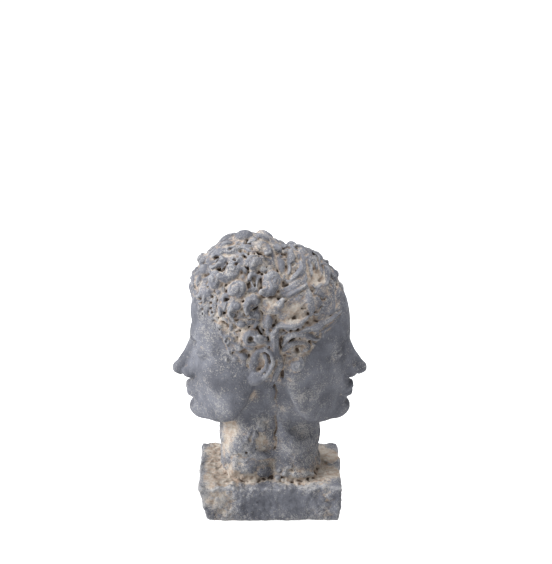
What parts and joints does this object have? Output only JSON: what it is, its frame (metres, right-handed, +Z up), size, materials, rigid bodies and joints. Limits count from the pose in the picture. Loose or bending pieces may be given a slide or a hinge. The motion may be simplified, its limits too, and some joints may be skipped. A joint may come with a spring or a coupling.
{
  "type": "janus sculpture",
  "caption": "Life-size two-faced head cast in grey cement, two heads back to back on one neck, in one piece with its rough block plinth.",
  "frame": {"origin": "middle of the plinth's underside, on the surface that the sculpture stands on", "axes": "+Z up from the underside to the crown; the curly head faces -X and the wavy head faces +X"},
  "size_m": [0.2678, 0.174, 0.4],
  "materials": {
    "cement": "weathered slate-grey cement with a fine sandy grain, tan dust in the hollows and pale worn edges"
  },
  "bodies": {
    "root": {"janus_head": "cement"}
  },
  "joints": []
}
